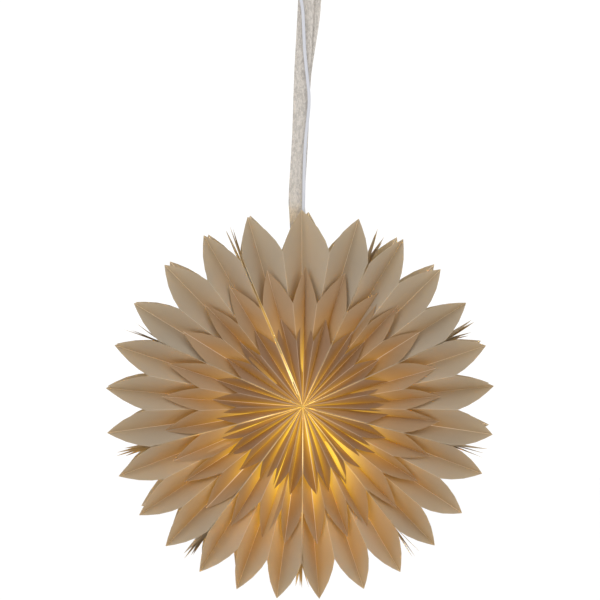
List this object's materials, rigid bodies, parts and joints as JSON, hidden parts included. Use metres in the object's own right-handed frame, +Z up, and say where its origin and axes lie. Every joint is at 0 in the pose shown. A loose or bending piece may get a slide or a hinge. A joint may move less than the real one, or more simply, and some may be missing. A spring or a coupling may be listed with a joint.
{
  "type": "paper star lantern",
  "caption": "Large round folding paper star of pleated bags in stepped tiers, hung by a ribbon loop, with a small lamp, cable, hand switch and plug.",
  "frame": {"origin": "inside top of the ribbon loop, where it rests on the hook that carries it", "axes": "+Z up; -Y the side that faces the viewer; +Y along the star's axis to its back"},
  "size_m": [0.5981, 0.1806, 1.1403],
  "materials": {
    "pleated_paper": "matte paper, thin enough to glow",
    "wall_paper": "matte paper",
    "end_card": "matte thin card",
    "hook_tape": "matte, fine hooks",
    "loop_tape": "matte, napped",
    "ribbon_fabric": "sheer with a fine silver glitter",
    "cable_jacket": "satin",
    "tie_tape": "matte",
    "switch_plastic": "satin gloss",
    "plug_plastic": "satin",
    "plated_pins": "bright nickel plate",
    "holder_plastic": "satin gloss",
    "contact_metal": "bright",
    "screw_metal": "bright nickel plate",
    "bulb_plastic": "matte",
    "opal_glass": "opal, lit"
  },
  "bodies": {
    "root": {"outer_pleats_1": "pleated_paper", "middle_pleats_1": "pleated_paper", "inner_pleats_1": "pleated_paper", "glued_wall_1": "wall_paper", "end_wall_first": "end_card", "closure_hook_pads": "hook_tape", "ribbon": "ribbon_fabric", "lamp_cable": "cable_jacket", "plug_cable_riser": "cable_jacket", "plug_cable_tail": "cable_jacket", "cable_coil": "cable_jacket", "coil_tie": "tie_tape", "switch_front_shell": "switch_plastic", "switch_back_shell": "switch_plastic", "plug_strain_relief": "plug_plastic", "plug_body": "plug_plastic", "plug_pins": "plated_pins", "holder_cable_grip": "holder_plastic", "holder_cap": "holder_plastic", "holder_shell": "holder_plastic", "holder_insert": "holder_plastic"},
    "bag_2": {"outer_pleats_2": "pleated_paper", "middle_pleats_2": "pleated_paper", "inner_pleats_2": "pleated_paper", "glued_wall_2": "wall_paper"},
    "bag_3": {"outer_pleats_3": "pleated_paper", "middle_pleats_3": "pleated_paper", "inner_pleats_3": "pleated_paper", "glued_wall_3": "wall_paper"},
    "bag_4": {"outer_pleats_4": "pleated_paper", "middle_pleats_4": "pleated_paper", "inner_pleats_4": "pleated_paper", "glued_wall_4": "wall_paper"},
    "bag_5": {"outer_pleats_5": "pleated_paper", "middle_pleats_5": "pleated_paper", "inner_pleats_5": "pleated_paper", "glued_wall_5": "wall_paper"},
    "bag_6": {"outer_pleats_6": "pleated_paper", "middle_pleats_6": "pleated_paper", "inner_pleats_6": "pleated_paper", "glued_wall_6": "wall_paper"},
    "bag_7": {"outer_pleats_7": "pleated_paper", "middle_pleats_7": "pleated_paper", "inner_pleats_7": "pleated_paper", "glued_wall_7": "wall_paper"},
    "bag_8": {"outer_pleats_8": "pleated_paper", "middle_pleats_8": "pleated_paper", "inner_pleats_8": "pleated_paper", "glued_wall_8": "wall_paper"},
    "bag_9": {"outer_pleats_9": "pleated_paper", "middle_pleats_9": "pleated_paper", "inner_pleats_9": "pleated_paper", "end_wall_last": "end_card", "closure_loop_pads": "loop_tape"},
    "bulb": {"bulb_contact": "contact_metal", "bulb_screw_shell": "screw_metal", "bulb_collar": "bulb_plastic", "bulb_globe": "opal_glass"},
    "rocker": {"switch_rocker": "switch_plastic"}
  },
  "joints": [
    {"name": "fold_2", "type": "hinge", "parent": "root", "child": "bag_2", "pos_m": [-0.018, 0, -0.823], "axis": [0, -1, 0], "range_deg": [0, 38.7], "deforming": ["outer_pleats_2", "middle_pleats_2", "inner_pleats_2"]},
    {"name": "fold_3", "type": "hinge", "parent": "bag_2", "child": "bag_3", "pos_m": [-0.018, 0, -0.823], "axis": [0, -1, 0], "range_deg": [0, 37], "deforming": ["outer_pleats_3", "middle_pleats_3", "inner_pleats_3"]},
    {"name": "fold_4", "type": "hinge", "parent": "bag_3", "child": "bag_4", "pos_m": [-0.018, 0, -0.823], "axis": [0, -1, 0], "range_deg": [0, 35.8], "deforming": ["outer_pleats_4", "middle_pleats_4", "inner_pleats_4"]},
    {"name": "fold_5", "type": "hinge", "parent": "bag_4", "child": "bag_5", "pos_m": [-0.018, 0, -0.823], "axis": [0, -1, 0], "range_deg": [0, 35.4], "deforming": ["outer_pleats_5", "middle_pleats_5", "inner_pleats_5"]},
    {"name": "fold_6", "type": "hinge", "parent": "bag_5", "child": "bag_6", "pos_m": [-0.018, 0, -0.823], "axis": [0, -1, 0], "range_deg": [0, 35], "deforming": ["outer_pleats_6", "middle_pleats_6", "inner_pleats_6"]},
    {"name": "fold_7", "type": "hinge", "parent": "bag_6", "child": "bag_7", "pos_m": [-0.018, 0, -0.823], "axis": [0, -1, 0], "range_deg": [0, 35.9], "deforming": ["outer_pleats_7", "middle_pleats_7", "inner_pleats_7"]},
    {"name": "fold_8", "type": "hinge", "parent": "bag_7", "child": "bag_8", "pos_m": [-0.018, 0, -0.823], "axis": [0, -1, 0], "range_deg": [0, 37.3], "deforming": ["outer_pleats_8", "middle_pleats_8", "inner_pleats_8"]},
    {"name": "fold_9", "type": "hinge", "parent": "bag_8", "child": "bag_9", "pos_m": [-0.018, 0, -0.823], "axis": [0, -1, 0], "range_deg": [0, 40.2], "deforming": ["outer_pleats_9", "middle_pleats_9", "inner_pleats_9"]},
    {"name": "bulb_turn", "type": "hinge", "parent": "root", "child": "bulb", "pos_m": [-0.018, 0, -0.8], "axis": [0, 0, 1], "range_deg": [0, 1080]},
    {"name": "rocker_tilt", "type": "hinge", "parent": "root", "child": "rocker", "pos_m": [-0.0375, -0.02, -0.099], "axis": [1, 0, 0], "range_deg": [-14, 0]}
  ]
}
